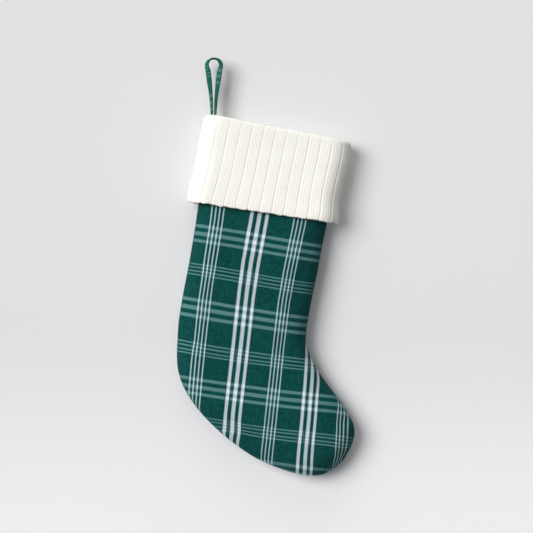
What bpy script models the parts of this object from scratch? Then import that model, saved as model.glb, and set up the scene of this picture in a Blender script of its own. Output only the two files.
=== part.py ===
"""A hanging plaid stocking with a ribbed knit cuff, on its own fabric loop.

World frame: metres, +Z up, +X towards the toe, the front faces -Y and a wall would be at +Y.
The origin is the inside top of the loop, where a peg carries it.

The stocking is drawn in its own plane and then hung with a small tilt: a runs across the leg
from the heel side to the toe side, b runs up the leg, and both start at the foot of the loop.
Every layer of the body is the same pillow form, with its outline and depth moved in by an inset.
"""
import bpy
import bmesh
from math import cos, pi, radians, sin, sqrt
from mathutils import Vector

MM = 0.001

# How the stocking hangs
HANG_TILT = radians(9.1)            # the toe side hangs lower than the heel side
LOOP_FOOT = (-0.5, -80.1)           # x, z of the swing axis, where the strap enters the mouth

# Body outline: heel-side point (a, b), toe-side point (a, b), front half depth
BODY_STATIONS = (
    ((-10.7, -7.5), (192.5, -13.5), 20.8),
    ((-12.0, -30), (193.0, -35), 20.8),
    ((-9.0, -62), (189.0, -65), 21),
    ((-3.2, -98), (182.5, -99), 21.5),
    ((-1.0, -135), (179.3, -135), 22),
    ((-1.0, -200), (177.3, -198), 22),
    ((-2.7, -262), (175.2, -250), 22.5),
    ((-1.6, -303), (177.0, -287), 23),
    ((7.3, -358), (190.0, -315), 23.5),
    ((32.3, -397), (212.0, -341), 24),
    ((75.0, -432), (236.0, -364), 24),
    ((127.0, -459.6), (252.5, -383), 23.5),
    ((172.0, -472), (261.5, -395), 23),
    ((205.0, -475), (264.7, -409), 23),
    ((228.0, -471), (263.2, -424), 23),
    ((241.0, -461.5), (258.3, -437), 23),
)
ROWS_PER_STATION = 2
TOE_SEAM_STEPS = 6                  # of a seam thread round the end of the toe
ACROSS = 12                         # grid columns on one face, closer together at the rims
RIM_RADIUS = 32                     # how far in from the outline the pillow rises
BACK_FLATTER = 4.2                  # the back is this much shallower than the front
SEAM_GAP = 1.6                      # between the front and back edges, for the seam thread
TOE_BOW = 3.2                       # the end of the toe is rounded by this much
TOE_WAY = Vector((0.82, -0.57))     # the way that the toe points, in a and b
THREAD = 0.6                        # diameter of a sewn thread
SEAM_DEPTH = 0.36                   # the seam thread's middle is this far inside the outline

# Layers of the body, from outside to inside
PANEL = 0.8
WADDING_INSET = 2.1
TOE_RELIEF = 1.6                    # the inner layers are cut this much shorter at the toe
WADDING = 1.9
WADDING_EDGE_GAP = 5.0              # the wadding is trimmed back from the seam
WADDING_TOP_ROW = 4                 # and it stops below the turned-in mouth
LINING_INSET = 4.9
LINING_INSET_AT_MOUTH = 1.2
LINING = 0.5

# Cuff: drop below its top line, heel-side edge, toe-side edge, front half depth
CUFF_STATIONS = (
    (0, -14.3, 196.0, 24.3),
    (16, -15.3, 196.8, 24.3),
    (30, -15.6, 196.8, 24.4),
    (55, -15.2, 194.8, 25),
    (78, -15.8, 193.0, 26),
    (98, -18.3, 193.0, 27),
    (112, -19.3, 195.0, 28),
    (122, -18.0, 195.0, 28),
)
CUFF_TOP_AT_FOOT = 0.8              # b of the cuff's top line above the loop's foot
CUFF_TOP_SLOPE = -0.036
CUFF_BOTTOM = -123.4
CUFF_BOTTOM_SLOPE = 0.011
CUFF_RIM_RADIUS = 30
KNIT = 2.0
FOLD_WIDTH = 8.2                    # outer wall to turned-in wall, over the top edge
TURN_IN = 25                        # how far the knit reaches down inside the mouth
BACKING_INSET = 2.35
BACKING = 0.8
BACKING_DROPS = (118, 110, 98, 78, 55, 30, 18, 8)
SIDE_SEAM_DROPS = (6, 16, 30, 42, 55, 66, 78, 88, 98, 106, 112, 118)
SIDE_SEAM_OUT = 0.65                # the side seam's thread lies on the knit
HEM_STITCH_DROP = 120
MOUTH_SEAM_DROP = 22

# Care label, in the lining's heel-side seam: its left top corner, width, height
LABEL_CORNER = (10, -150)
LABEL_SIZE = (26, 38)
LABEL = 0.5

# Hanging strap: half spacing of its legs at each height, and its turn about the vertical
STRAP_WIDTH = 9.0
STRAP_THICK = 2.4
TAIL_WIDTH = 8.0                    # the sewn-down end is folded in a little
TAIL_THICK = 1.8
TAIL_POINTS = ((-0.9, -4.6), (-2.0, -8.0), (-2.7, -11.4), (-3.0, -14.8), (-3.2, -18.2))   # a, b
BAR_TACK_SIZE = (1.0, 7.0, 2.2)
BAR_TACK_PLACE = (-0.9, 0, -13.5)
CROWN_RADIUS = 10.2                 # middle of the strap round the peg
LEG_SPACING = ((-9.0, 10.2), (-16, 8.0), (-29, 6.4), (-43, 4.6), (-57, 2.9), (-71, 2.1), (-80.1, 1.9))
LEG_TURN = ((1.2, 0), (-1.8, 26), (-9, 30), (-16, 50), (-29, 48), (-43, 27), (-57, 10), (-71, 6), (-80.1, 6))
CROWN_STEPS = 8                     # of the half circle round the peg
TWIST_HEIGHT = -24.0                # the strap is divided here for the twist joint
TWIST_GAP = 1.0

COLLECTION = "hanging_stocking"
COLOURS = {
    "plaid": ((0.012, 0.062, 0.058, 1), 0.85),
    "plaid_back": ((0.014, 0.055, 0.052, 1), 0.85),
    "wadding": ((0.80, 0.80, 0.78, 1), 0.95),
    "lining": ((0.70, 0.68, 0.62, 1), 0.8),
    "knit": ((0.86, 0.85, 0.79, 1), 0.9),
    "backing": ((0.78, 0.76, 0.70, 1), 0.85),
    "strap": ((0.016, 0.110, 0.080, 1), 0.85),
    "green_thread": ((0.010, 0.045, 0.042, 1), 0.6),
    "cream_thread": ((0.80, 0.78, 0.70, 1), 0.6),
    "label": ((0.88, 0.88, 0.86, 1), 0.5),
}


def clear_scene():
    for item in list(bpy.data.objects):
        bpy.data.objects.remove(item, do_unlink=True)


def make_collection(name):
    collection = bpy.data.collections.new(name)
    bpy.context.scene.collection.children.link(collection)
    return collection


def make_materials():
    materials = {}
    for name, (colour, roughness) in COLOURS.items():
        material = bpy.data.materials.new(name)
        material.use_nodes = True
        shader = material.node_tree.nodes["Principled BSDF"]
        shader.inputs["Base Color"].default_value = colour
        shader.inputs["Roughness"].default_value = roughness
        shader.inputs["Metallic"].default_value = 0.0
        materials[name] = material
    return materials


def make_axis(name, location, tilt, parent, collection):
    empty = bpy.data.objects.new(name, None)
    empty.empty_display_size = 0.02
    empty.location = location
    empty.rotation_euler = (0, tilt, 0)
    empty.parent = parent
    collection.objects.link(empty)
    return empty


def smooth_value(values, t):
    """A Catmull-Rom curve through equally numbered values; each value is a number or a Vector."""
    last = len(values) - 1
    i = min(int(t), last - 1)
    f = t - i
    p1 = values[i]
    p2 = values[i + 1]
    p0 = values[i - 1] if i > 0 else 2 * p1 - p2
    p3 = values[i + 2] if i + 2 <= last else 2 * p2 - p1
    return 0.5 * (2 * p1 + (p2 - p0) * f + (2 * p0 - 5 * p1 + 4 * p2 - p3) * f * f
                  + (3 * p1 - p0 - 3 * p2 + p3) * f * f * f)


def between(pairs, key):
    """Straight interpolation in (key, value) pairs; the keys go down."""
    for (k0, v0), (k1, v1) in zip(pairs, pairs[1:]):
        if key >= k1:
            return v0 + (v1 - v0) * min(1.0, max(0.0, (k0 - key) / (k0 - k1)))
    return pairs[-1][1]


def pillow_rise(distance, radius):
    """0 at the outline, 1 from one radius inwards, round like a quarter ellipse."""
    q = max(0.0, 1.0 - distance / radius)
    return sqrt(max(0.0, 1.0 - q * q))


def cosine_spacing(u):
    return (1 - cos(pi * u)) / 2


class BodyLayer:
    """The pillow form of one layer of the body: the outline and depth moved in by inset(row)."""

    def __init__(self, inset, edge_gap, front):
        self.inset = inset
        self.edge_y = edge_gap / 2
        self.front = front
        self.last_row = (len(BODY_STATIONS) - 1) * ROWS_PER_STATION
        self.to_toe = self.distances_to_toe()

    def outline(self, side, row):
        """The body's outline at a grid row; side 0 is the heel side and 1 the toe side."""
        return smooth_value([Vector(s[side]) for s in BODY_STATIONS], row / ROWS_PER_STATION)

    def heading(self, side, row):
        ahead = self.outline(side, min(row + 0.5, self.last_row))
        behind = self.outline(side, max(row - 0.5, 0))
        return (ahead - behind).normalized()

    def edge(self, side, row):
        """The outline moved in by this layer's inset."""
        run = self.heading(side, row)
        inward = Vector((-run.y, run.x)) if side == 0 else Vector((run.y, -run.x))
        return self.outline(side, row) + inward * self.inset(row)

    def distances_to_toe(self):
        middles = [(self.edge(0, i) + self.edge(1, i)) / 2 for i in range(self.last_row + 1)]
        distances = [0.0]
        for near, far in zip(reversed(middles[1:]), reversed(middles[:-1])):
            distances.append(distances[-1] + (near - far).length)
        return list(reversed(distances))

    def squareness(self, side, row, across):
        """Sine of the angle between a row and the outline that it meets."""
        run = self.heading(side, row)
        return abs(run.x * across.y - run.y * across.x)

    def toe_bow(self, row, s):
        """How far a point at share s across a row is moved towards the toe, to round its end."""
        near = min(1.0, max(0.0, (row - self.last_row) / (2 * ROWS_PER_STATION) + 1))
        return TOE_WAY.normalized() * TOE_BOW * near * near * (3 - 2 * near) * 4 * s * (1 - s)

    def point(self, row, u):
        """The layer's outer surface at one grid row; u goes from the heel side to the toe side."""
        left = self.edge(0, row)
        span = self.edge(1, row) - left
        across = span.normalized()
        s = cosine_spacing(u)
        rise = pillow_rise(span.length * s * self.squareness(0, row, across), RIM_RADIUS)
        rise *= pillow_rise(span.length * (1 - s) * self.squareness(1, row, across), RIM_RADIUS)
        rise *= pillow_rise(self.to_toe[row], RIM_RADIUS)
        depth = smooth_value([s[2] for s in BODY_STATIONS], row / ROWS_PER_STATION) - self.inset(row)
        depth -= self.edge_y + (0 if self.front else BACK_FLATTER)
        place = left + span * s + self.toe_bow(row, s)
        y = self.edge_y + depth * rise
        return Vector((place.x, -y if self.front else y, place.y)) * MM


def make_sheet(columns, rows, place, closed=False):
    """A grid bent into shape: place(u, v) gives each corner, with u and v from 0 to 1."""
    bm = bmesh.new()
    bmesh.ops.create_grid(bm, x_segments=columns, y_segments=rows, size=0.5)
    for vert in bm.verts:
        vert.co = place(vert.co.x + 0.5, vert.co.y + 0.5)
    if closed:
        bmesh.ops.remove_doubles(bm, verts=bm.verts, dist=0.00001)
    bm.normal_update()
    return bm


def face_towards(bm, outside):
    """Turn all faces over together, if the first one doesn't look along outside(centre)."""
    bm.faces.ensure_lookup_table()
    face = bm.faces[len(bm.faces) // 2]
    if face.normal.dot(outside(face.calc_center_median())) < 0:
        bmesh.ops.reverse_faces(bm, faces=bm.faces)
    bm.normal_update()


def add_piece(name, bm, thickness, material, parent, collection):
    mesh = bpy.data.meshes.new(name)
    bm.to_mesh(mesh)
    bm.free()
    mesh.shade_smooth()
    mesh.materials.append(material)
    piece = bpy.data.objects.new(name, mesh)
    piece.parent = parent
    collection.objects.link(piece)
    solidify = piece.modifiers.new("thickness", "SOLIDIFY")
    solidify.thickness = thickness * MM
    solidify.offset = -1
    return piece


def add_thread(name, points, closed, material, parent, collection, diameter=THREAD):
    curve = bpy.data.curves.new(name, "CURVE")
    curve.dimensions = "3D"
    curve.bevel_depth = diameter / 2 * MM
    curve.bevel_resolution = 1
    curve.use_fill_caps = True
    spline = curve.splines.new("POLY")
    spline.points.add(len(points) - 1)
    for target, point in zip(spline.points, points):
        target.co = (*point, 1)
    spline.use_cyclic_u = closed
    curve.materials.append(material)
    piece = bpy.data.objects.new(name, curve)
    piece.parent = parent
    collection.objects.link(piece)
    return piece


def add_body_layer(name, layer, first_row, thickness, material, parent, collection):
    """One layer of the body, from a grid row down to the toe, thickened inwards."""
    rows = layer.last_row - first_row
    bm = make_sheet(ACROSS, rows, lambda u, v: layer.point(first_row + round(v * rows), u))
    side = -1 if layer.front else 1
    face_towards(bm, lambda centre: Vector((0, side, 0)))
    return add_piece(name, bm, thickness, material, parent, collection)


def toe_relief(row):
    rows = (len(BODY_STATIONS) - 1) * ROWS_PER_STATION
    return TOE_RELIEF * max(0.0, 1 - (rows - row) / 6)


def wadding_inset(row):
    return WADDING_INSET + toe_relief(row)


def lining_inset(row):
    """Close behind the panel at the mouth, and behind the wadding further down."""
    share = min(1.0, max(0.0, (row - 2) / 2))
    inset = LINING_INSET_AT_MOUTH + (LINING_INSET - LINING_INSET_AT_MOUTH) * share
    return inset + toe_relief(row)


def seam_route(layer):
    """Points in the gap at the layer's edge, down the heel side, round the toe and back up."""
    down = []
    up = []
    for row in range(layer.last_row + 1):
        left = layer.edge(0, row)
        right = layer.edge(1, row)
        inward = (right - left).normalized() * SEAM_DEPTH
        down.append(left + inward)
        up.append(right - inward)
    toe_left, toe_right = down[-1], up[-1]
    toe = []
    for k in range(1, TOE_SEAM_STEPS):
        s = k / TOE_SEAM_STEPS
        toe.append(toe_left.lerp(toe_right, s) + layer.toe_bow(layer.last_row, s))
    route = down + toe + list(reversed(up))
    return [Vector((p.x, 0, p.y)) * MM for p in route]


def cuff_top(a):
    return CUFF_TOP_AT_FOOT + CUFF_TOP_SLOPE * a


def cuff_bottom(a):
    return CUFF_BOTTOM + CUFF_BOTTOM_SLOPE * a


def cuff_value(column, drop):
    drops = [s[0] for s in CUFF_STATIONS]
    i = max(k for k in range(len(drops) - 1) if drop >= drops[k] or k == 0)
    t = i + (drop - drops[i]) / (drops[i + 1] - drops[i])
    return smooth_value([s[column] for s in CUFF_STATIONS], min(max(t, 0.0), len(drops) - 1.0))


def cuff_point(turn, drop, inset):
    """A point of the cuff: turn goes once round from the heel side by the front, 0 to 1."""
    left = cuff_value(1, drop) + inset
    right = cuff_value(2, drop) - inset
    depth = cuff_value(3, drop) - inset
    front = turn <= 0.5
    s = cosine_spacing(2 * turn)
    width = right - left
    rise = pillow_rise(width * s, CUFF_RIM_RADIUS) * pillow_rise(width * (1 - s), CUFF_RIM_RADIUS)
    a = left + width * s
    full_drop = CUFF_STATIONS[-1][0]
    b = cuff_top(a) + (cuff_bottom(a) - cuff_top(a)) * drop / full_drop
    y = -depth * rise if front else (depth - BACK_FLATTER) * rise
    return Vector((a, y, b)) * MM


def knit_profile():
    """(drop, inset) up the outside of the cuff, over its top edge and down inside the mouth."""
    radius = FOLD_WIDTH / 2
    outside = [(s[0], 0.0) for s in reversed(CUFF_STATIONS[1:])]
    fold = [(radius * (1 - sin(pi * k / 6)), radius * (1 - cos(pi * k / 6))) for k in range(7)]
    inside = [(TURN_IN * 0.5, FOLD_WIDTH), (TURN_IN, FOLD_WIDTH)]
    return outside + fold + inside


def cuff_sheet(profile):
    def place(u, v):
        drop, inset = profile[round(v * (len(profile) - 1))]
        return cuff_point(u, drop, inset)

    bm = make_sheet(2 * ACROSS, len(profile) - 1, place, closed=True)
    bm.faces.ensure_lookup_table()
    outer = min(bm.faces, key=lambda face: face.calc_center_median().y)
    if outer.normal.y > 0:
        bmesh.ops.reverse_faces(bm, faces=bm.faces)
    bm.normal_update()
    return bm


def ring_route(drop, inset):
    count = 2 * ACROSS
    return [cuff_point(k / count, drop, inset) for k in range(count)]


def leg_point(height, side):
    """Middle of one leg of the strap at a height; it leans a little towards the loop's foot."""
    lean = LOOP_FOOT[0] * height / LOOP_FOOT[1]
    return Vector((lean + side * between(LEG_SPACING, height), 0, height))


def strap_frame(centre, along, turn, edge):
    """Point on the strap's middle surface: edge goes from -1 to 1 across its width."""
    width = Vector((-sin(turn), cos(turn), 0))
    width -= along * width.dot(along)
    return (centre + width.normalized() * edge * STRAP_WIDTH / 2) * MM


def strap_sheet(route):
    """A strap along route, a list of middle points, each turned as LEG_TURN says."""
    count = len(route) - 1

    def place(u, v):
        i = round(v * count)
        along = (route[min(i + 1, count)] - route[max(i - 1, 0)]).normalized()
        turn = radians(between(LEG_TURN, route[i].z))
        return strap_frame(route[i], along, turn, 2 * u - 1)

    return make_sheet(2, count, place)


def crown_route():
    low = TWIST_HEIGHT + TWIST_GAP / 2
    top = LEG_SPACING[0][0]
    heights = [low, (low + top) / 2 - 1.5, top - 3]
    left = [leg_point(h, -1) for h in heights]
    right = [leg_point(h, 1) for h in reversed(heights)]
    arc = []
    for k in range(CROWN_STEPS + 1):
        angle = pi - pi * k / CROWN_STEPS
        arc.append(Vector((CROWN_RADIUS * cos(angle), 0, top + CROWN_RADIUS * sin(angle))))
    return left + arc + right


def legs_route():
    high = TWIST_HEIGHT - TWIST_GAP / 2
    foot_x, foot_z = LOOP_FOOT
    heights = [high, -30, -37, -44, -51, -58, -65, -72, -77, foot_z]
    spacing = LEG_SPACING[-1][1]
    down = [leg_point(h, -1) for h in heights]
    up = [leg_point(h, 1) for h in reversed(heights)]
    bend = []
    for k in range(1, 5):
        angle = pi + pi * k / 5
        bend.append(Vector((foot_x + spacing * cos(angle), 0, foot_z + spacing * sin(angle))))
    return down + bend + up


def make_strap(materials, swing_axis, twist_axis, collection):
    for name, route in (("loop_crown", crown_route()), ("loop_legs", legs_route())):
        bm = strap_sheet(route)
        piece = add_piece(name, bm, STRAP_THICK, materials["strap"], None, collection)
        piece.modifiers["thickness"].offset = 0
        if name == "loop_legs":
            for vert in piece.data.vertices:
                vert.co -= twist_axis.location
            piece.parent = twist_axis

    def tail_place(u, v):
        a, b = TAIL_POINTS[round(v * (len(TAIL_POINTS) - 1))]
        return Vector((a, (u - 0.5) * TAIL_WIDTH, b)) * MM

    tail = make_sheet(2, len(TAIL_POINTS) - 1, tail_place)
    face_towards(tail, lambda centre: Vector((1, 0, 0)))
    tail_piece = add_piece("loop_tail", tail, TAIL_THICK, materials["strap"], swing_axis, collection)
    tail_piece.modifiers["thickness"].offset = 0


def make_bar_tack(materials, parent, collection):
    bm = bmesh.new()
    bmesh.ops.create_cube(bm, size=1.0)
    bmesh.ops.scale(bm, verts=bm.verts, vec=Vector(BAR_TACK_SIZE) * MM)
    bmesh.ops.translate(bm, verts=bm.verts, vec=Vector(BAR_TACK_PLACE) * MM)
    mesh = bpy.data.meshes.new("loop_bar_tack")
    bm.to_mesh(mesh)
    bm.free()
    mesh.materials.append(materials["green_thread"])
    piece = bpy.data.objects.new("loop_bar_tack", mesh)
    piece.parent = parent
    collection.objects.link(piece)
    bevel = piece.modifiers.new("edges", "BEVEL")
    bevel.width = 0.3 * MM
    bevel.segments = 2


def make_cuff(materials, parent, collection):
    knit = cuff_sheet(knit_profile())
    add_piece("knit_cuff", knit, KNIT, materials["knit"], parent, collection)
    backing = cuff_sheet([(drop, BACKING_INSET) for drop in BACKING_DROPS])
    add_piece("cuff_backing", backing, BACKING, materials["backing"], parent, collection)
    add_thread("cuff_hem_stitch", ring_route(HEM_STITCH_DROP, KNIT + 0.8), True,
               materials["cream_thread"], parent, collection)
    add_thread("mouth_seam", ring_route(MOUTH_SEAM_DROP, FOLD_WIDTH + 0.65), True,
               materials["cream_thread"], parent, collection)
    side = [cuff_point(0, drop, -SIDE_SEAM_OUT) for drop in SIDE_SEAM_DROPS]
    add_thread("cuff_side_seam", side, False, materials["cream_thread"], parent, collection)


def make_body(materials, parent, collection):
    for word, front, plaid in (("front", True, "plaid"), ("back", False, "plaid_back")):
        panel = BodyLayer(lambda row: 0, SEAM_GAP, front)
        wadding = BodyLayer(wadding_inset, WADDING_EDGE_GAP, front)
        lining = BodyLayer(lining_inset, SEAM_GAP, front)
        add_body_layer(word + "_panel", panel, 0, PANEL, materials[plaid], parent, collection)
        add_body_layer(word + "_wadding", wadding, WADDING_TOP_ROW, WADDING,
                       materials["wadding"], parent, collection)
        add_body_layer(word + "_lining", lining, 0, LINING, materials["lining"], parent, collection)
    add_thread("panel_seam", seam_route(panel), False, materials["green_thread"], parent, collection)
    add_thread("lining_seam", seam_route(lining), False, materials["cream_thread"], parent, collection)


def make_label(materials, parent, collection):
    """A blank folded label that stands out of the lining seam into the leg."""
    left, top = LABEL_CORNER
    width, height = LABEL_SIZE

    def place(u, v):
        return Vector((left + width * u, 1.5 * sin(pi * u) - 0.5, top - height * v)) * MM

    bm = make_sheet(5, 3, place)
    add_piece("care_label", bm, LABEL, materials["label"], parent, collection)


def main():
    clear_scene()
    collection = make_collection(COLLECTION)
    materials = make_materials()
    foot = Vector((LOOP_FOOT[0], 0, LOOP_FOOT[1])) * MM
    swing_axis = make_axis("swing_axis", foot, HANG_TILT, None, collection)
    twist_axis = make_axis("twist_axis", Vector((0, 0, TWIST_HEIGHT)) * MM, 0, None, collection)
    make_strap(materials, swing_axis, twist_axis, collection)
    make_bar_tack(materials, swing_axis, collection)
    make_cuff(materials, swing_axis, collection)
    make_body(materials, swing_axis, collection)
    make_label(materials, swing_axis, collection)


main()
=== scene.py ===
"""The looks of a hanging plaid stocking with a ribbed knit cuff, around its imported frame.

Lengths below are in millimetres in the stocking's own plane: a runs across the leg from the heel
side to the toe side, b runs up the leg, and y is depth, with the front at -y. hang() turns them
into metres in the frame that the CAD model uses.
"""
from math import cos, pi, radians, sin

import bpy
import numpy as np
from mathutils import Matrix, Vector


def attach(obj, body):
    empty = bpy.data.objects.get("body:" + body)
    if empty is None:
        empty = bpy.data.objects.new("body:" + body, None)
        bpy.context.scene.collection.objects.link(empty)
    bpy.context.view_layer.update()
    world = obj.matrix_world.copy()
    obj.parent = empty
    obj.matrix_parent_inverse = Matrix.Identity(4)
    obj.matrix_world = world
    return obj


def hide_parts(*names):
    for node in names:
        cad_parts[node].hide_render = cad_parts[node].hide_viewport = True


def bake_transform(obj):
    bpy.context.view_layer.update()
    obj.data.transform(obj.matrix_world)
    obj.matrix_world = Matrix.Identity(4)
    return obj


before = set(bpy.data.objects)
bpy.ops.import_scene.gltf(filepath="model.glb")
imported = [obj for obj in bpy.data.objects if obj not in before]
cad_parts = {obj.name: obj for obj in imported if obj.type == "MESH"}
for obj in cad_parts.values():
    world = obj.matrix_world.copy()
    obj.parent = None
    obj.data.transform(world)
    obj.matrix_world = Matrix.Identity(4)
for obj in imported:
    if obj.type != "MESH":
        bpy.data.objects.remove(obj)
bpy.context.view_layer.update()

MM = 0.001
TILT = radians(9.1)
FOOT = (-0.5, -80.1)                # x, z where the strap enters the mouth
rng = np.random.default_rng(7)

# The body's outline and depth: heel-side point, toe-side point, front half depth
BODY = (
    ((-9.6, -7.5), (192.5, -13.5), 20.8), ((-12.0, -30), (193.0, -35), 20.8),
    ((-9.0, -62), (189.0, -65), 21), ((-3.2, -98), (182.5, -99), 21.5),
    ((-1.0, -135), (179.3, -135), 22), ((-1.0, -200), (177.3, -198), 22),
    ((-2.7, -262), (175.2, -250), 22.5), ((-1.6, -303), (177.0, -287), 23),
    ((7.3, -358), (190.0, -315), 23.5), ((32.3, -397), (212.0, -341), 24),
    ((75.0, -432), (236.0, -364), 24), ((127.0, -459.6), (252.5, -383), 23.5),
    ((172.0, -472), (261.5, -395), 23), ((205.0, -475), (264.7, -409), 23),
    ((228.0, -471), (263.2, -424), 23), ((241.0, -461.5), (258.3, -437), 23),
)
STATIONS = len(BODY) - 1
HEEL_SIDE = np.array([s[0] for s in BODY], float)
TOE_SIDE = np.array([s[1] for s in BODY], float)
DEPTH = np.array([s[2] for s in BODY], float)
RIM_RADIUS = 32
BACK_FLATTER = 4.2
TOE_BOW = 3.2                       # the end of the toe is rounded by this much
TOE_WAY = np.array((0.82, -0.57))   # the way that the toe points, in a and b

# The body's layers: thickness, and how far each lies inside the outline
PANEL, WADDING, LINING = 0.7, 1.6, 0.4
PANEL_HEM = ((0.12, 0.62), (0.45, 0.48), (1.1, 0.42), (2.4, 0.42))    # inwards and depth, by ring
WADDING_INSET = 2.2
WADDING_EDGE = 2.5                  # depth of its edge, where the others meet in the middle
LINING_INSET, LINING_INSET_AT_MOUTH = 4.9, 1.2
TOE_RELIEF = 1.6                    # the inner layers are this much shorter at the toe
SEAM_DEPTH = 0.36                   # a seam's thread lies this far inside the edge that it sews

# Cuff: drop below its top line, heel-side edge, toe-side edge, front half depth
CUFF = np.array((
    (0, -12.3, 196.0, 24.3), (16, -14.6, 196.8, 24.3), (30, -15.5, 196.8, 24.4),
    (55, -15.2, 194.8, 25), (78, -15.8, 193.0, 26), (98, -18.3, 193.0, 27),
    (112, -19.3, 195.0, 28), (122, -18.0, 195.0, 28),
), float)
CUFF_TOP, CUFF_TOP_SLOPE = 0.8, -0.036
CUFF_BOTTOM, CUFF_BOTTOM_SLOPE = -123.4, 0.011
CUFF_RIM_RADIUS = 30
FOLD_WIDTH = 8.2
CORNER_ROUND = 2.2                  # the heel side's top corner is lower by this much
TURN_IN = 25
KNIT = 1.9
RIBS = 29                           # round the whole cuff
COLUMNS_PER_RIB = 4
SAMPLES_PER_COLUMN = 4
RIB_GROOVE_AT = 87.2                # one groove on the front crosses here, at b = RIB_LEVEL
RIB_LEVEL = -60
RIB_LEAN = 0.045
GROOVE_DEPTH = 0.42
STITCH = 3.2                        # height of one knitted stitch
STITCH_RELIEF = 0.12

# The plaid: centres of the line groups, fine and wide in turn, as the cloth lies on the form
WARP_LEVELS = (-475, -450, -400, -348, -300, -240, -196, -140)
WARP_CENTRES = (
    (38.8, 97.5, 150.2, 203.6, 250.4), (38.0, 96.3, 148.4, 201.7, 248.8),
    (36.9, 93.2, 146.4, 199.2, 246.0), (33.2, 91.0, 144.0, 196.1, 243.0),
    (30.4, 88.9, 141.6, 191.0, 241.0), (28.0, 85.9, 139.3, 191.5, 243.0),
    (26.5, 84.7, 140.1, 193.5, 247.5), (26.5, 85.6, 142.5, 198.5, 254.5),
)
WEFT_LEVELS = (0, 60, 110, 165, 230)
WEFT_CENTRES = (
    (-165.0, -214.6, -268.0, -324.4, -377.0, -424.0, -476.0),
    (-165.0, -214.7, -268.6, -325.0, -376.5, -424.4, -476.0),
    (-166.0, -215.7, -268.5, -324.7, -375.4, -425.1, -476.0),
    (-166.4, -216.0, -268.4, -323.0, -373.9, -423.7, -475.5),
    (-167.0, -216.0, -267.0, -320.0, -370.3, -420.5, -473.0),
)
VIEW_DISTANCE = 2500                # the centres above are as seen from here
VIEW_CENTRE = (73.6, -290.1)
WRAP_SHARE = 0.45                   # how much of the cloth's extra length at the rims shows
WRAP_FREE = 2.0                     # once it is more than this
THREAD = 0.92                       # one woven thread
WARP_PITCH = 62 * THREAD
WEFT_PITCH = 57 * THREAD
# One group's line spacing, half width of a line, reach, and whether the lines are even in number
FINE_WARP = (6 * THREAD, 0.62, 9.9, True)
WIDE_WARP = (10.8, 2.5, 14.0, False)
FINE_WEFT = (5.0, 0.9, 8.6, True)
WIDE_WEFT = (10.8, 2.35, 14.0, False)
STRAP_LINES = (                     # centre along the strap from its crown, and the group
    (-24.0, (5.0, 0.85, 8.6, True)), (82.0, (5.0, 0.85, 8.6, True)),
    (31.0, (8.8, 2.2, 11.5, False)), (-68.0, (9.4, 2.2, 12.0, False)),
)

# Strap: half spacing of its legs and their turn about the vertical, by height
STRAP_WIDTH = 9.0
STRAP_THICK = 2.4
CROWN_RADIUS = 10.2
CROWN_HEIGHT = -9.0
LEG_HEIGHTS = (-80.1, -71, -57, -43, -29, -16, -9)
LEG_SPACING = (2.35, 2.55, 3.2, 4.6, 6.4, 8.0, 10.2)
TURN_HEIGHTS = (-80.1, -71, -57, -43, -29, -16, -9, -1.8, 1.2)
LEG_TURN = (12, 15, 22, 30, 48, 50, 30, 26, 0)
STRAP_SPLIT = -46.0                 # the strap's two pieces meet here
TAIL_DROPS = (4.6, 8.0, 11.4, 14.8, 18.2)
TAIL_ACROSS = (-0.9, -2.0, -2.7, -3.0, -3.2)
TAIL_NARROWER = 1.0
TAIL_THINNER = 1.05
TAIL_APART = 0.72                   # the two ends lie this far to either side of their middle
TAIL_BLEND = (77, 86)               # the legs turn into the sewn ends over these depths

LABEL_CORNER = (10, -150)
LABEL_SIZE = (26, 38)


def hang(points):
    """(a, y, b) in millimetres to x, y, z in metres."""
    a, y, b = np.moveaxis(np.asarray(points, float), -1, 0)
    x = FOOT[0] + a * cos(TILT) + b * sin(TILT)
    z = FOOT[1] - a * sin(TILT) + b * cos(TILT)
    return np.stack((x, y, z), -1) * MM


def smooth_curve(values, t):
    """Catmull-Rom through equally numbered rows of values, at each t."""
    values = np.asarray(values, float)
    t = np.asarray(t, float)
    padded = np.concatenate(([2 * values[0] - values[1]], values, [2 * values[-1] - values[-2]]))
    i = np.clip(t.astype(int), 0, len(values) - 2)
    f = t - i
    if values.ndim > 1:
        f = f[..., None]
    p0, p1, p2, p3 = (padded[i + k] for k in range(4))
    return 0.5 * (2 * p1 + (p2 - p0) * f + (2 * p0 - 5 * p1 + 4 * p2 - p3) * f ** 2
                  + (3 * p1 - p0 - 3 * p2 + p3) * f ** 3)


def unit(vectors):
    return vectors / np.maximum(np.linalg.norm(vectors, axis=-1, keepdims=True), 1e-12)


def pillow_rise(distance, radius):
    q = np.clip(1 - distance / radius, 0, None)
    return np.sqrt(np.clip(1 - q * q, 0, None))


def ramp(value, low, high):
    t = np.clip((value - low) / (high - low), 0, 1)
    return t * t * (3 - 2 * t)


def waves(x, y, size, seed):
    """Smooth unevenness of about -1 to 1 and of one size, the same on each run."""
    local = np.random.default_rng(seed)
    total = 0
    for _ in range(7):
        angle = local.uniform(0, 2 * pi)
        reach = local.uniform(0.7, 1.5) / size
        shift = local.uniform(0, 2 * pi)
        total = total + np.sin(2 * pi * reach * (x * cos(angle) + y * sin(angle)) + shift)
    return total / 4


# ---------------------------------------------------------------- the body's layers

def cuff_bottom(a):
    return CUFF_BOTTOM + CUFF_BOTTOM_SLOPE * a


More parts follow.
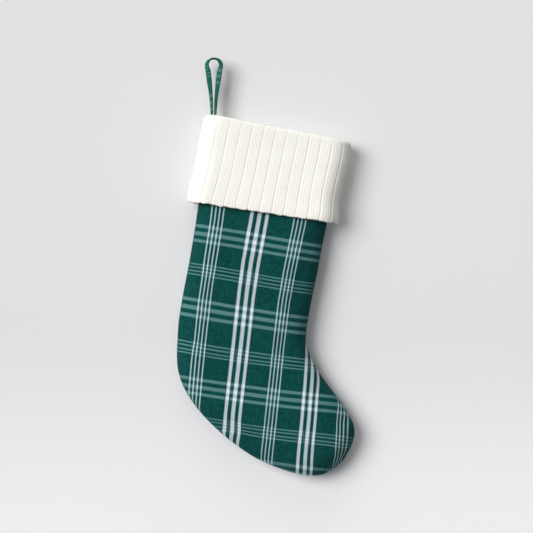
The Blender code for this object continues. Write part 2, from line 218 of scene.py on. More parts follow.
class Layer:
    """One layer of the body: the pillow form moved in by inset(t), t in numbers of stations."""

    def __init__(self, front, inset=lambda t: 0 * t, edge=0.8):
        self.front = front
        self.inset = inset
        self.edge_y = edge
        fine = np.linspace(0, STATIONS, 301)
        middle = (self.edge(0, fine) + self.edge(1, fine)) / 2
        steps = np.linalg.norm(np.diff(middle, axis=0), axis=1)
        self.fine = fine
        self.to_toe = np.concatenate((np.cumsum(steps[::-1])[::-1], [0]))

    def outline(self, side, t):
        return smooth_curve(TOE_SIDE if side else HEEL_SIDE, t)

    def heading(self, side, t):
        ahead = self.outline(side, np.minimum(t + 0.25, STATIONS))
        return unit(ahead - self.outline(side, np.maximum(t - 0.25, 0)))

    def inward(self, side, t):
        run = self.heading(side, t)
        turned = np.stack((-run[..., 1], run[..., 0]), -1)
        return turned if side == 0 else -turned

    def edge(self, side, t):
        t = np.asarray(t, float)
        return self.outline(side, t) + self.inward(side, t) * self.inset(t)[..., None]

    def surface(self, t, s):
        """Grid of points (a, y, b) for rows t and shares s from the heel side to the toe side."""
        left, right = self.edge(0, t), self.edge(1, t)
        span = np.linalg.norm(right - left, axis=1)
        across = unit(right - left)
        rise = np.interp(t, self.fine, pillow_rise(self.to_toe, RIM_RADIUS))[:, None]
        for side, share in ((0, s), (1, 1 - s)):
            run = self.heading(side, t)
            square = np.abs(run[:, 0] * across[:, 1] - run[:, 1] * across[:, 0])
            rise = rise * pillow_rise((span * square)[:, None] * share[None], RIM_RADIUS)
        depth = smooth_curve(DEPTH, t) - self.inset(t) - self.edge_y
        depth = depth - (0 if self.front else BACK_FLATTER)
        y = self.edge_y + depth[:, None] * rise
        place = left[:, None] + across[:, None] * span[:, None, None] * s[None, :, None]
        bow = TOE_BOW * ramp(t, STATIONS - 2, STATIONS)[:, None] * 4 * (s * (1 - s))[None]
        place = place + bow[..., None] * unit(TOE_WAY)
        return np.stack((place[..., 0], -y if self.front else y, place[..., 1]), -1)


def rim_spacing(count):
    u = np.linspace(0, 1, count)
    return 0.62 * (1 - np.cos(pi * u)) / 2 + 0.38 * u


def row_spacing(count, first=0.0):
    """Rows, closer together towards the toe, where the stations are closer too."""
    return np.linspace(first, STATIONS, count)


def group_number(along, across, levels, centres, end_pitch):
    """Which line group a point of the cloth is at, as a number that runs smoothly between them."""
    columns = np.array(centres, float).T
    here = np.stack([np.interp(across, levels, c) for c in columns], -1)
    if here[..., 0].mean() > here[..., -1].mean():
        here, along = -here, -along
    last = here.shape[-1] - 1
    k = np.clip((along[..., None] >= here).sum(-1) - 1, 0, last - 1)
    c0 = np.take_along_axis(here, k[..., None], -1)[..., 0]
    c1 = np.take_along_axis(here, k[..., None] + 1, -1)[..., 0]
    number = k + (along - c0) / (c1 - c0)
    number = np.where(along < here[..., 0], (along - here[..., 0]) / end_pitch, number)
    beyond = last + (along - here[..., -1]) / end_pitch
    return np.where(along > here[..., -1], beyond, number)


def seen_from_front(points):
    """(a, b) of points as they look from VIEW_DISTANCE in front, carried onto the plane y = 0."""
    place = hang(points) / MM
    scale = VIEW_DISTANCE / (VIEW_DISTANCE + place[..., 1])
    x = VIEW_CENTRE[0] + (place[..., 0] - VIEW_CENTRE[0]) * scale - FOOT[0]
    z = VIEW_CENTRE[1] + (place[..., 2] - VIEW_CENTRE[1]) * scale - FOOT[1]
    return np.stack((x * cos(TILT) - z * sin(TILT), x * sin(TILT) + z * cos(TILT)), -1)


def slack(points, place, axis):
    """How much longer the cloth is than it looks, summed along one way of the grid."""
    full = np.linalg.norm(np.diff(points, axis=axis), axis=-1)
    seen = np.linalg.norm(np.diff(place, axis=axis), axis=-1)
    start = np.zeros_like(np.take(points[..., 0], [0], axis=axis))
    return np.concatenate((start, np.cumsum(full - seen, axis=axis)), axis=axis)


def cloth_coordinates(points):
    """Where each point of a body sheet lies on the flat plaid, in millimetres, and its painted shade
    close under the cuff, from 0 to 1.
    """
    place = seen_from_front(points)
    middle = points.shape[1] // 2
    extra = slack(points, place, 1)
    extra = extra - extra[:, middle:middle + 1]
    extra = WRAP_SHARE * np.sign(extra) * np.clip(np.abs(extra) - WRAP_FREE, 0, None)
    across = unit(place[:, -1] - place[:, 0])
    toe = slack(points, place, 0) * ramp(np.linspace(0, 1, len(points)), 0.75, 1)[:, None]
    flat = place + extra[..., None] * across[:, None] + toe[..., None] * TOE_WAY
    warp = group_number(flat[..., 0], flat[..., 1], WARP_LEVELS, WARP_CENTRES, WARP_PITCH)
    weft = group_number(flat[..., 1], flat[..., 0], WEFT_LEVELS, WEFT_CENTRES, WEFT_PITCH)
    # painted shade: the third value darkens the plaid's colour close under the cuff's hem
    below_cuff = cuff_bottom(points[..., 0]) - points[..., 2]
    return np.stack((warp * WARP_PITCH, weft * WEFT_PITCH, 1 - ramp(below_cuff, 0.6, 4.5)), -1)


def grid_faces(rows, columns, wrap=False, flip=False):
    """Quads of a grid; they face the viewer where columns run right and rows run up."""
    index = np.arange(rows * columns).reshape(rows, columns)
    if wrap:
        index = np.concatenate((index, index[:, :1]), axis=1)
    quads = np.stack((index[:-1, :-1], index[:-1, 1:], index[1:, 1:], index[1:, :-1]), -1)
    quads = quads.reshape(-1, 4)
    return quads[:, ::-1] if flip else quads


def tube_faces(rows, sides, closed=False):
    """Quads round a tube, which is joined end to end or has flat ends."""
    faces = grid_faces(rows, sides, wrap=True).tolist()
    last = (rows - 1) * sides
    if closed:
        return faces + [[last + k, last + (k + 1) % sides, (k + 1) % sides, k] for k in range(sides)]
    return faces + [list(range(sides)), [last + sides - 1 - k for k in range(sides)]]


def make_mesh(name, points, faces, fields=()):
    """A mesh object from points in metres; fields are vector attributes, one value for each point."""
    mesh = bpy.data.meshes.new(name)
    mesh.from_pydata(points.reshape(-1, 3).tolist(), [], [list(map(int, f)) for f in faces])
    for field, values in dict(fields).items():
        attribute = mesh.attributes.new(field, "FLOAT_VECTOR", "POINT")
        attribute.data.foreach_set("vector", values.reshape(-1).astype(np.float32))
    mesh.shade_smooth()
    mesh.validate()
    piece = bpy.data.objects.new(name, mesh)
    bpy.context.scene.collection.objects.link(piece)
    return piece


def face_outwards(piece):
    """Turn a closed mesh's faces over if they enclose a negative volume."""
    mesh = piece.data
    mesh.calc_loop_triangles()
    corners = np.empty(len(mesh.loop_triangles) * 3, int)
    mesh.loop_triangles.foreach_get("vertices", corners)
    points = np.empty(len(mesh.vertices) * 3)
    mesh.vertices.foreach_get("co", points)
    p = points.reshape(-1, 3)[corners].reshape(-1, 3, 3)
    if np.einsum("ij,ij->i", p[:, 0], np.cross(p[:, 1], p[:, 2])).sum() < 0:
        mesh.flip_normals()
    return piece


def apply_modifiers(piece):
    depsgraph = bpy.context.evaluated_depsgraph_get()
    mesh = bpy.data.meshes.new_from_object(piece.evaluated_get(depsgraph), depsgraph=depsgraph)
    piece.modifiers.clear()
    old, piece.data = piece.data, mesh
    name = old.name
    bpy.data.meshes.remove(old)
    mesh.name = name
    return piece


def thicken(piece, thickness):
    """Give a sheet its thickness, on the side away from its faces."""
    solidify = piece.modifiers.new("thickness", "SOLIDIFY")
    solidify.thickness = thickness * MM
    solidify.offset = -1.0
    return face_outwards(apply_modifiers(piece))


def turn_in(layer, t, columns, points, cloth, quads, hem):
    """Add the turned-in edge of a body sheet: one ring of points for each (inwards, depth) of hem."""
    index = np.arange(len(points)).reshape(len(t), columns)
    last = rim = np.concatenate((index[:, 0], index[-1, 1:-1], index[::-1, -1]))
    inward = np.concatenate((layer.inward(0, t), np.tile(unit(-TOE_WAY), (columns - 2, 1)),
                             layer.inward(1, t)[::-1]))
    inward = unit(inward + np.roll(inward, 1, axis=0) + np.roll(inward, -1, axis=0))
    for reach, y in hem:
        ring = points[rim].copy()
        ring[:, ::2] += inward * reach
        ring[:, 1] = -y if layer.front else y
        new = np.arange(len(points), len(points) + len(rim))
        strip = np.stack((last[:-1], last[1:], new[1:], new[:-1]), -1)
        quads = np.concatenate((quads, strip if layer.front else strip[:, ::-1]))
        points = np.concatenate((points, ring))
        cloth = np.concatenate((cloth, cloth[rim]))
        last = new
    return points, cloth, quads


def body_sheet(name, layer, rows, columns, thickness, bulge, first=0.0, hem=()):
    """One layer of the body as a fine sheet, moved by bulge from the plain pillow form."""
    t = row_spacing(rows, first)
    s = rim_spacing(columns)
    plain = layer.surface(t, s)
    points = (plain + bulge(t, s, plain)).reshape(-1, 3)
    cloth = cloth_coordinates(plain).reshape(-1, 3)
    quads = grid_faces(rows, columns, flip=layer.front)
    points, cloth, quads = turn_in(layer, t, columns, points, cloth, quads, hem)
    return thicken(make_mesh(name, hang(points), quads, {"cloth": cloth}), thickness)


# ---------------------------------------------------------------- soft swelling of the body

SIM_ROWS, SIM_COLUMNS = 96, 42
SIM_FRAMES = 18
SIM_CLOTH = {
    "quality": 6, "mass": 0.2, "tension_stiffness": 20, "compression_stiffness": 20,
    "shear_stiffness": 8, "bending_stiffness": 1.5, "air_damping": 3, "vertex_group_mass": "held",
    "shrink_min": -0.012, "use_pressure": True, "uniform_pressure_force": 2.5,
}
SWELL_OUT, SWELL_IN, SWELL_SIDEWAYS = 3.0, 0.25, 0.8


def swell_limits(move, out):
    """Keep the movement clear of the wadding behind, and small across and along the cloth."""
    move = move.copy()
    move[..., 1] = out * np.clip(move[..., 1] * out, -SWELL_IN, SWELL_OUT)
    move[..., ::2] = np.clip(move[..., ::2], -SWELL_SIDEWAYS, SWELL_SIDEWAYS)
    return move


def swelling():
    """How far the padded body's cloth moves under its filling: displacement grids, front and back."""
    t = row_spacing(SIM_ROWS)
    s = rim_spacing(SIM_COLUMNS)
    grids = [Layer(True, edge=0.0).surface(t, s), Layer(False, edge=0.0).surface(t, s)]
    front = np.arange(SIM_ROWS * SIM_COLUMNS).reshape(SIM_ROWS, SIM_COLUMNS)
    back = front.copy()
    inner = back[:-1, 1:-1]
    inner[:] = np.arange(inner.size).reshape(inner.shape) + front.size
    points = np.concatenate((grids[0].reshape(-1, 3), grids[1][:-1, 1:-1].reshape(-1, 3)))
    faces = grid_faces(SIM_ROWS, SIM_COLUMNS)
    faces = np.concatenate((faces[:, ::-1], back.reshape(-1)[faces]))
    shell = make_mesh("swelling", hang(points), faces)
    held = np.concatenate((front[:, 0], front[:, -1], front[-1], front[:2].ravel(), back[:2].ravel()))
    group = shell.vertex_groups.new(name="held")
    group.add([int(i) for i in set(held.tolist())], 1.0, "REPLACE")
    cloth = shell.modifiers.new("cloth", "CLOTH")
    for setting, value in SIM_CLOTH.items():
        setattr(cloth.settings, setting, value)
    cloth.settings.effector_weights.gravity = 0
    cloth.collision_settings.use_collision = False
    scene = bpy.context.scene
    for frame_number in range(1, SIM_FRAMES + 1):
        scene.frame_set(frame_number)
    moved = shell.evaluated_get(bpy.context.evaluated_depsgraph_get()).data
    end = np.empty(len(points) * 3)
    moved.vertices.foreach_get("co", end)
    shift = (end.reshape(-1, 3) - hang(points)) / MM
    scene.frame_set(1)
    bpy.data.objects.remove(shell)
    across = shift @ np.array((cos(TILT), 0, -sin(TILT)))
    up = shift @ np.array((sin(TILT), 0, cos(TILT)))
    local = np.stack((across, shift[:, 1], up), -1)
    return {True: swell_limits(local[front], -1), False: swell_limits(local[back], 1)}


def resample(grid, rows, columns):
    """The grid between its points, at fractional row and column numbers."""
    i = np.minimum(rows.astype(int), len(grid) - 2)
    j = np.minimum(columns.astype(int), len(grid[0]) - 2)
    past_row, past_column = (rows - i)[:, None, None], (columns - j)[None, :, None]
    low, high = grid[i], grid[i + 1]
    return ((low[:, j] * (1 - past_column) + low[:, j + 1] * past_column) * (1 - past_row)
            + (high[:, j] * (1 - past_column) + high[:, j + 1] * past_column) * past_row)


def soften(field, passes):
    for _ in range(passes):
        field[1:-1] = (field[:-2] + 2 * field[1:-1] + field[2:]) / 4
        field[:, 1:-1] = (field[:, :-2] + 2 * field[:, 1:-1] + field[:, 2:]) / 4
    return field


def swell_with(field, front):
    """The movement of a plaid sheet: slightly uneven, and swollen by its filling below the cuff."""
    def bulge(t, s, points):
        a, b = points[..., 0], points[..., 2]
        rim = ramp(np.minimum(s, 1 - s), 0, 0.12)[None] * ramp(STATIONS - t, 0, 1.5)[:, None]
        lift = 0.45 * waves(a, b, 95, 11 + front) + 0.18 * waves(a, b, 34, 21 + front)
        move = np.zeros(points.shape)
        move[..., 1] = (-1 if front else 1) * lift * rim * ramp(-b, 100, 140)
        if field is not None:
            rows = np.interp(t, row_spacing(SIM_ROWS), np.arange(SIM_ROWS))
            columns = np.interp(s, rim_spacing(SIM_COLUMNS), np.arange(SIM_COLUMNS))
            swell = soften(resample(field, rows, columns), 6)
            move = move + swell * ramp(-b, 122, 150)[..., None]
        return move
    return bulge


def lumps(front):
    """The movement of a wadding pad, which is a little uneven all over."""
    def bulge(t, s, points):
        move = np.zeros(points.shape)
        rim = ramp(np.minimum(s, 1 - s), 0, 0.08)[None] * ramp(STATIONS - t, 0, 1)[:, None]
        move[..., 1] = 0.28 * rim * waves(points[..., 0], points[..., 2], 16, 51 + front)
        return move
    return bulge


def creases(front):
    """The movement of a lining sheet, which hangs loose in long soft folds."""
    def bulge(t, s, points):
        move = np.zeros(points.shape)
        rim = ramp(np.minimum(s, 1 - s), 0, 0.1)[None] * ramp(t, 0.5, 3)[:, None]
        rim = rim * ramp(STATIONS - t, 0, 2)[:, None]
        fold = 0.7 * waves(points[..., 0], points[..., 2] * 0.3, 42, 61 + front)
        move[..., 1] = (1 if front else -1) * rim * (0.9 + fold)
        return move
    return bulge


# ---------------------------------------------------------------- materials

class Finish:
    """A material's node tree, built with short calls that return sockets."""

    def __init__(self, name, roughness, specular=0.25):
        self.material = bpy.data.materials.new(name)
        self.material.use_nodes = True
        tree = self.material.node_tree
        self.nodes, self.links = tree.nodes, tree.links
        self.shader = tree.nodes["Principled BSDF"]
        self.shader.inputs["Roughness"].default_value = roughness
        self.shader.inputs["Specular IOR Level"].default_value = specular

    def node(self, kind, inputs, output=0, **settings):
        node = self.nodes.new(kind)
        for key, value in settings.items():
            setattr(node, key, value)
        for key, value in inputs.items():
            if isinstance(value, bpy.types.NodeSocket):
                self.links.new(value, node.inputs[key])
            else:
                node.inputs[key].default_value = value
        return node.outputs[output]

    def math(self, operation, *values):
        return self.node("ShaderNodeMath", dict(enumerate(values)), operation=operation)

    def field(self, name):
        return self.node("ShaderNodeAttribute", {}, "Vector", attribute_name=name)

    def place(self):
        return self.node("ShaderNodeTexCoord", {}, "Object")

    def split(self, vector):
        node = self.nodes.new("ShaderNodeSeparateXYZ")
        self.links.new(vector, node.inputs[0])
        return node.outputs[0], node.outputs[1], node.outputs[2]

    def noise(self, vector, scale, detail):
        return self.node("ShaderNodeTexNoise", {"Vector": vector, "Scale": scale, "Detail": detail})

    def blend(self, share, first, second):
        return self.node("ShaderNodeMix", {0: share, 6: first, 7: second}, 2, data_type="RGBA")

    def level(self, value, low, high):
        """A value of 0 to 1 turned into low to high."""
        return self.node("ShaderNodeMapRange", {0: value, 3: low, 4: high})

    def scaled(self, colour, factor):
        return self.node("ShaderNodeVectorMath", {0: colour, "Scale": factor}, operation="SCALE")

    def colour(self, socket):
        self.links.new(socket, self.shader.inputs["Base Color"])

    def relief(self, height, distance, strength):
        bump = self.node("ShaderNodeBump", {"Height": height, "Distance": distance * MM,
                                            "Strength": strength})
        self.links.new(bump, self.shader.inputs["Normal"])

    def sheen(self, weight, tint=(1, 1, 1, 1)):
        self.shader.inputs["Sheen Weight"].default_value = weight
        self.shader.inputs["Sheen Roughness"].default_value = 0.5
        self.shader.inputs["Sheen Tint"].default_value = tint


GREEN_YARN = (0.0035, 0.057, 0.052, 1)
WHITE_YARN = (0.66, 0.74, 0.79, 1)
PALE_YARN = (0.25, 0.485, 0.50, 1)
STRAP_YARN = (0.0075, 0.104, 0.070, 1)
# painted shade: how much darker the plaid is painted close under the cuff
PAINTED_SHADE_UNDER_CUFF = 0.62


def woven(finish, u, v, warp_white, weft_white, white_share, green=GREEN_YARN):
    """Colour and height of a two-and-one twill; warp and weft say which threads are pale.

    white_share goes from the dull yarn of the weft lines, 0, to the white yarn of the broad warp
    stripes, 1.
    """
    m = finish.math
    i = m("FLOOR", m("DIVIDE", u, THREAD))
    j = m("FLOOR", m("DIVIDE", v, THREAD))
    over = m("LESS_THAN", m("FLOORED_MODULO", m("ADD", i, j), 3.0), 1.5)
    under = m("SUBTRACT", 1.0, over)
    thread = m("ADD", m("MULTIPLY", over, warp_white), m("MULTIPLY", under, weft_white))
    even = m("ADD", m("MULTIPLY", warp_white, 0.667), m("MULTIPLY", weft_white, 0.333))
    share = m("ADD", m("MULTIPLY", thread, 0.95), m("MULTIPLY", even, 0.05))
    place = finish.place()
    fleck = finish.noise(place, 900.0, 2.0)
    cloud = finish.noise(place, 35.0, 3.0)
    mottle = finish.noise(place, 300.0, 1.0)
    crossing = finish.node("ShaderNodeCombineXYZ", {0: i, 1: j})
    heather = finish.node("ShaderNodeTexWhiteNoise", {"Vector": crossing})
    shade = m("MULTIPLY", finish.level(fleck, 0.3, 1.7), finish.level(cloud, 0.9, 1.1))
    shade = m("MULTIPLY", shade, m("MULTIPLY", finish.level(heather, 0.75, 1.25),
                                   finish.level(mottle, 0.45, 1.55)))
    pale = finish.blend(white_share, PALE_YARN, WHITE_YARN)
    colour = finish.blend(share, finish.scaled(green[:3], shade), pale)
    across = m("PINGPONG", m("DIVIDE", u, THREAD), 0.5)
    along = m("PINGPONG", m("DIVIDE", v, THREAD), 0.5)
    height = m("ADD", m("MULTIPLY", over, across), m("MULTIPLY", under, m("MULTIPLY", along, 0.8)))
    return colour, m("ADD", height, m("MULTIPLY", fleck, 0.5))


def thread_middle(finish, value):
    m = finish.math
    return m("MULTIPLY", m("ADD", m("FLOOR", m("DIVIDE", value, THREAD)), 0.5), THREAD)


def line_group(finish, distance, pitch, half_width, reach, even):
    """Which points lie on a line, by their distance from the group's centre."""
    m = finish.math
    from_line = m("SUBTRACT", distance, pitch / 2) if even else distance
    line = m("LESS_THAN", m("PINGPONG", from_line, pitch / 2), half_width)
    return m("MULTIPLY", line, m("LESS_THAN", distance, reach))


def plaid_finish(name, shift=(0.0, 0.0)):
    """Fine and wide line groups by turns, both ways; shade close under the cuff is painted into the
    cloth's colour.
    """
    finish = Finish(name, 0.88, 0.06)
    m = finish.math
    u, v, painted_shade_under_cuff = finish.split(finish.field("cloth"))
    u, v = m("ADD", u, shift[0]), m("ADD", v, shift[1])
    to_fine = m("PINGPONG", thread_middle(finish, u), WARP_PITCH)
    fine = line_group(finish, to_fine, *FINE_WARP)
    wide = line_group(finish, m("SUBTRACT", WARP_PITCH, to_fine), *WIDE_WARP)
    white_share = m("MAXIMUM", m("MULTIPLY", fine, 0.55), wide)
    to_wide = m("PINGPONG", thread_middle(finish, v), WEFT_PITCH)
    weft = m("MAXIMUM", line_group(finish, m("SUBTRACT", WEFT_PITCH, to_wide), *FINE_WEFT),
             line_group(finish, to_wide, *WIDE_WEFT))
    colour, height = woven(finish, u, v, m("MAXIMUM", fine, wide), weft, white_share)
    # painted shade close under the cuff, multiplied into the plaid's colour
    painted_shade_factor = m("SUBTRACT", 1.0, m("MULTIPLY", painted_shade_under_cuff, PAINTED_SHADE_UNDER_CUFF))
    finish.colour(finish.scaled(colour, painted_shade_factor))
    finish.relief(height, 0.25, 0.6)
    finish.sheen(0.03, (0.3, 0.9, 0.8, 1))
    return finish.material


def strap_finish():
    """The strap is cut from the same plaid, so line groups cross it now and then."""
    finish = Finish("strap_plaid", 0.85, 0.1)
    m = finish.math
    along, across, _ = finish.split(finish.field("strip"))
    at = thread_middle(finish, along)
    weft = 0.0
    for centre, group in STRAP_LINES:
        distance = m("ABSOLUTE", m("SUBTRACT", at, centre))
        weft = m("MAXIMUM", weft, line_group(finish, distance, *group))
    colour, height = woven(finish, across, along, 0.0, m("MULTIPLY", weft, 0.5), 0.3, STRAP_YARN)
    finish.colour(colour)
    finish.relief(height, 0.2, 0.5)
    finish.sheen(0.04, (0.3, 0.9, 0.7, 1))
    return finish.material


def knit_finish():
    """Fine stockinette columns of V stitches in soft cream yarn, with painted shade in the rib
    grooves and the gaps between stitches.
    """
    finish = Finish("rib_knit", 0.92, 0.1)
    m = finish.math
    column, along, groove = finish.split(finish.field("knit"))
    leg = m("ABSOLUTE", m("SUBTRACT", m("FRACT", column), 0.5))
    slope = m("SUBTRACT", m("DIVIDE", along, STITCH), m("MULTIPLY", leg, 1.3))
    vee = m("PINGPONG", slope, 0.5)
    border = finish.node("ShaderNodeMapRange", {0: leg, 1: 0.34, 2: 0.5, 3: 0.0, 4: 1.0})
    middle = finish.node("ShaderNodeMapRange", {0: leg, 1: 0.0, 2: 0.1, 3: 1.0, 4: 0.0})
    row_gap = finish.node("ShaderNodeMapRange", {0: vee, 1: 0.0, 2: 0.16, 3: 1.0, 4: 0.0})
    place = finish.place()
    fuzz = finish.noise(place, 1500.0, 3.0)
    cloud = finish.noise(place, 60.0, 2.0)
    height = m("ADD", m("MULTIPLY", fuzz, 0.8), m("MULTIPLY", border, -0.5))
    finish.relief(m("ADD", m("MULTIPLY", vee, 0.8), height), 0.4, 0.6)
    tone = finish.blend(cloud, (0.845, 0.832, 0.765, 1), (0.89, 0.88, 0.825, 1))
    # painted shade: darker yarn colour between stitch columns, in each V's middle and between rows
    painted_gap_shade = m("ADD", m("MULTIPLY", border, 0.11),
             m("ADD", m("MULTIPLY", middle, 0.08), m("MULTIPLY", row_gap, 0.17)))
    painted_gap_shade = m("MULTIPLY", painted_gap_shade, finish.level(fuzz, 0.2, 1.8))
    # painted shade in the rib grooves, added to the gaps' painted shade; it blends the yarn towards a
    # darker cream
    depth = m("MINIMUM", m("ADD", m("MULTIPLY", groove, 0.17), painted_gap_shade), 1.0)
    finish.colour(finish.blend(depth, tone, (0.60, 0.575, 0.50, 1)))
    finish.sheen(0.15)
    return finish.material


def fabric_finish(name, light, dark, pitch, roughness, relief, sheen=0.1):
    """A plain weave in one colour, for the hidden cloths, with painted shade where the weave dips."""
    finish = Finish(name, roughness)
    m = finish.math
    x, _, z = finish.split(finish.place())
    wx, wz = (m("SINE", m("MULTIPLY", way, 2 * pi / (pitch * MM))) for way in (x, z))
    weave = finish.level(m("MULTIPLY", wx, wz), 0.3, 0.7)
    cloud = finish.noise(finish.place(), 80.0, 4.0)
    # painted shade: the cloth is painted darker where the weave dips, and the cloud noise adds tone
    # at random
    finish.colour(finish.blend(m("MULTIPLY", m("ADD", weave, cloud), 0.5), dark, light))
    finish.relief(m("ADD", weave, m("MULTIPLY", cloud, 0.6)), relief, 0.6)
    finish.sheen(sheen)
    return finish.material


def wadding_finish():
    finish = Finish("wadding", 0.97, 0.05)
    place = finish.place()
    strands = finish.noise(place, 420.0, 6.0)
    clumps = finish.noise(place, 70.0, 3.0)
    finish.colour(finish.blend(strands, (0.70, 0.70, 0.68, 1), (0.90, 0.90, 0.88, 1)))
    finish.relief(finish.math("ADD", strands, clumps), 1.2, 0.8)
    finish.sheen(0.4)
    return finish.material


def thread_finish(name, light, dark):
    """Two plies of yarn twisted together, with painted shade in the valleys between the plies."""
    finish = Finish(name, 0.55, 0.35)
    m = finish.math
    along, round_, _ = finish.split(finish.field("thread"))
    ply = m("SINE", m("ADD", m("MULTIPLY", along, 2 * pi / 0.9), m("MULTIPLY", round_, 2 * pi)))
    share = finish.level(ply, 0.0, 0.6)
    fibre = finish.noise(finish.place(), 2500.0, 2.0)
    # painted shade: the thread is painted dark where the plies dip, and the fibre noise adds tone at
    # random
    finish.colour(finish.blend(m("MULTIPLY", m("ADD", share, fibre), 0.6), dark, light))
    finish.relief(m("ADD", share, m("MULTIPLY", fibre, 0.3)), 0.12, 0.7)
    return finish.material


PAINTED_UPPER_SHADE = 0.845                 # painted shade: the share of the paint's colour kept above the height PAINTED_LIGHT_FROM, so the lower wall looks lit by light off the floor
PAINTED_LIGHT_FROM, PAINTED_LIGHT_TO = -0.36, -0.66


def stage_finish(name, colour, one_sided):
    """Plain paint with painted light: painted shade a little darker above, and painted light from the
    floor lower down; a one-sided plane is clear when seen from behind.
    """
    finish = Finish(name, 0.9, 0.1)
    cloud = finish.noise(finish.place(), 3.0, 2.0)
    _, _, height = finish.split(finish.place())
    # painted light: full brightness lower down, where light off the floor is painted in
    low = finish.node("ShaderNodeMapRange",
                      {0: height, 1: PAINTED_LIGHT_FROM, 2: PAINTED_LIGHT_TO, 3: 0.0, 4: 1.0},
                      interpolation_type="SMOOTHSTEP")
    m = finish.math
    # painted light lower down and painted shade above, with a little random cloud
    share = m("ADD", m("MULTIPLY", cloud, 0.15), m("MULTIPLY", low, 0.85))
    shade = [c * PAINTED_UPPER_SHADE for c in colour[:3]] + [1]
    finish.colour(finish.blend(share, shade, colour))
    if one_sided:
        tree = finish.material.node_tree
        facing = finish.node("ShaderNodeNewGeometry", {}, "Backfacing")
        clear = finish.node("ShaderNodeBsdfTransparent", {})
        both = finish.node("ShaderNodeMixShader", {0: facing, 1: finish.shader.outputs[0], 2: clear})
        tree.links.new(both, tree.nodes["Material Output"].inputs["Surface"])
    return finish.material


# ---------------------------------------------------------------- cuff

def cuff_point(turn, drop, inset):
    """Points of the cuff; turn goes once round from the heel side by the front, 0 to 1."""
    turn, drop, inset = np.broadcast_arrays(turn, drop, inset)
    t = np.interp(drop, CUFF[:, 0], np.arange(len(CUFF)))
    left = smooth_curve(CUFF[:, 1], t) + inset
    right = smooth_curve(CUFF[:, 2], t) - inset
    depth = smooth_curve(CUFF[:, 3], t) - inset
    s = (1 - np.cos(2 * pi * turn)) / 2
    width = right - left
    rise = pillow_rise(width * s, CUFF_RIM_RADIUS) * pillow_rise(width * (1 - s), CUFF_RIM_RADIUS)
    a = left + width * s
    top = CUFF_TOP + CUFF_TOP_SLOPE * a
    b = top + (cuff_bottom(a) - top) * drop / CUFF[-1, 0]
    b = b - CORNER_ROUND * np.exp(-(width * s / 4.5) ** 2) * np.clip(1 - drop / 14, 0, 1)
    y = np.where(turn <= 0.5, -depth * rise, (depth - BACK_FLATTER) * rise)
    return np.stack((a, y, b), -1)


def cuff_rows(drop, inset, columns):
    """Points round the cuff at rib phases; one row for each (drop, inset), spaced along the ring."""
    fine = np.linspace(0, 1, 1441)
    rows = []
    for d, w in zip(drop, inset):
        ring = cuff_point(fine, d, w)
        arc = np.concatenate(([0], np.cumsum(np.linalg.norm(np.diff(ring, axis=0), axis=1))))
        front = fine <= 0.5
        level = ring[360, 2]
        at = RIB_GROOVE_AT + RIB_LEAN * (level - RIB_LEVEL)
        start = np.interp(at, ring[front, 0], arc[front])
        place = (start + (np.arange(columns) / columns) * arc[-1]) % arc[-1]
        rows.append(cuff_point(np.interp(place, arc, fine), d, w))
    return np.array(rows)


def knit_profile():
    """(drop, inset) up the outside of the cuff, over its top edge and down inside the mouth."""
    radius = FOLD_WIDTH / 2
    outside = [(122.2, 1.2), (122.1, 0.5)]
    outside += [(d, 0.0) for d in np.arange(121.6, radius + 0.5, -STITCH / 4)]
    fold = [(radius * (1 - sin(pi * k / 14)), radius * (1 - cos(pi * k / 14))) for k in range(15)]
    inside = [(d, FOLD_WIDTH) for d in np.linspace(6.5, TURN_IN, 9)]
    return np.array(outside + fold + inside)


def knit_relief(columns, profile, points):
    """How far each point of the cuff's outside stands out, and how deep in a groove it lies."""
    phase = np.arange(columns) / (COLUMNS_PER_RIB * SAMPLES_PER_COLUMN)
    to_groove = np.abs((phase + 0.5) % 1 - 0.5)
    groove = np.exp(-(to_groove / 0.06) ** 2)
    a, b = points[..., 0], points[..., 2]
    near_fold = 1 - 0.55 * ramp(-profile[:, 0], -15, -3)[:, None]
    strength = (1 + 0.25 * ramp(a, 130, 195)) * (0.85 + 0.3 * waves(a, b, 70, 32))
    groove = groove * near_fold * strength
    column = (np.arange(columns) / SAMPLES_PER_COLUMN) % 1
    stitch = np.arange(len(profile))[:, None] / 4 - 1.3 * np.abs(column - 0.5)
    weight = np.interp(column, (0, 0.25, 0.5, 0.75, 1), (0.3, 1, 0.6, 1, 0.3))
    loose = 1 + 0.35 * waves(a, b, 9, 33)
    loops = STITCH_RELIEF * np.cos(2 * pi * stitch) * weight * loose
    valleys = np.interp(column, (0, 0.25, 0.5, 0.75, 1), (-0.16, 0, -0.05, 0, -0.16))
    crown = -0.22 * (2 * np.abs(to_groove - 0.5)) ** 4
    unevenness = 0.30 * waves(a * 0.5, b, 42, 31)
    height = -GROOVE_DEPTH * groove + (loops + valleys + crown) * near_fold + unevenness
    return height + 0.45, groove


